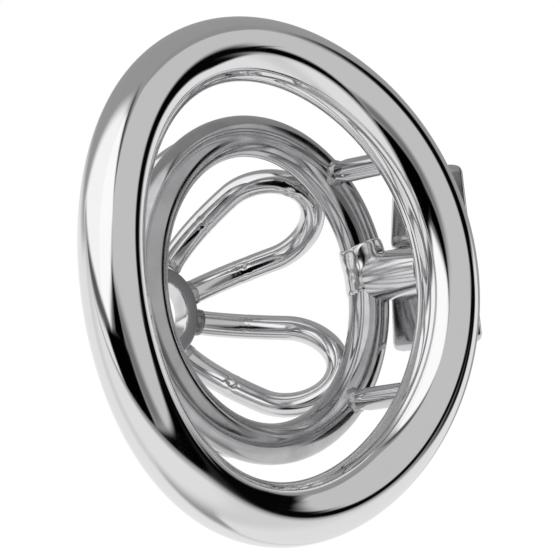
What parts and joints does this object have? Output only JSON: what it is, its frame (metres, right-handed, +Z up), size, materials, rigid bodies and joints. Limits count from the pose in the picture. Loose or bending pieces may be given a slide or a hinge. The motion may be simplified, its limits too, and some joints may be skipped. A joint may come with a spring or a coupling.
{
  "type": "locking ring cage",
  "caption": "Polished steel wearable locking cage: a bowed base ring, and a smaller ring with teardrop wire loops to a hub that slides on over pins and a key lock.",
  "frame": {"origin": "centre of the footprint, on the surface that the bowed base ring stands on", "axes": "+Z up from the base ring through the cage to the hub, +X towards the lock, +Y towards the lock's key face"},
  "size_m": [0.074, 0.0662, 0.0405],
  "materials": {
    "mirror_steel": "mirror-polished stainless steel",
    "bright_steel": "bright hand-polished stainless steel with fine drawing lines",
    "satin_steel": "fine matt machined stainless steel",
    "weld_steel": "polished-over weld metal, slightly uneven",
    "lock_brass": "plain machined brass"
  },
  "bodies": {
    "base": {"base_ring": "mirror_steel", "locking_stud": "bright_steel", "stud_weld": "weld_steel"},
    "cage": {"cage_ring": "bright_steel", "cage_ring_weld": "weld_steel", "petal_loop_1": "bright_steel", "petal_loop_2": "bright_steel", "petal_loop_3": "bright_steel", "petal_loop_4": "bright_steel", "petal_loop_5": "bright_steel", "hub_ring": "satin_steel", "guide_pin_1": "bright_steel", "guide_pin_2": "bright_steel", "pin_weld_1": "weld_steel", "pin_weld_2": "weld_steel", "lock_sleeve": "mirror_steel", "lock_housing": "bright_steel", "lock_end_block": "bright_steel"},
    "plug": {"lock_plug": "lock_brass", "lock_cam": "satin_steel", "cam_screw": "satin_steel"},
    "wafer_1": {"lock_wafer_1": "lock_brass"},
    "wafer_2": {"lock_wafer_2": "lock_brass"},
    "wafer_3": {"lock_wafer_3": "lock_brass"}
  },
  "joints": [
    {"name": "cage_slide", "type": "slide", "parent": "base", "child": "cage", "axis": [0, 0, 1], "range_m": [0, 0.03]},
    {"name": "plug_turn", "type": "hinge", "parent": "cage", "child": "plug", "pos_m": [0.0317, 0, 0.0136], "axis": [0, 1, 0], "range_deg": [0, 90]},
    {"name": "wafer_1_slide", "type": "slide", "parent": "plug", "child": "wafer_1", "axis": [0, 0, 1], "range_m": [0, 0.00045]},
    {"name": "wafer_2_slide", "type": "slide", "parent": "plug", "child": "wafer_2", "axis": [0, 0, 1], "range_m": [0, 0.00045]},
    {"name": "wafer_3_slide", "type": "slide", "parent": "plug", "child": "wafer_3", "axis": [0, 0, 1], "range_m": [0, 0.00045]}
  ],
  "couplings": [
    {"joint": "wafer_2_slide", "follows": "wafer_1_slide", "ratio": 1},
    {"joint": "wafer_3_slide", "follows": "wafer_1_slide", "ratio": 1}
  ]
}
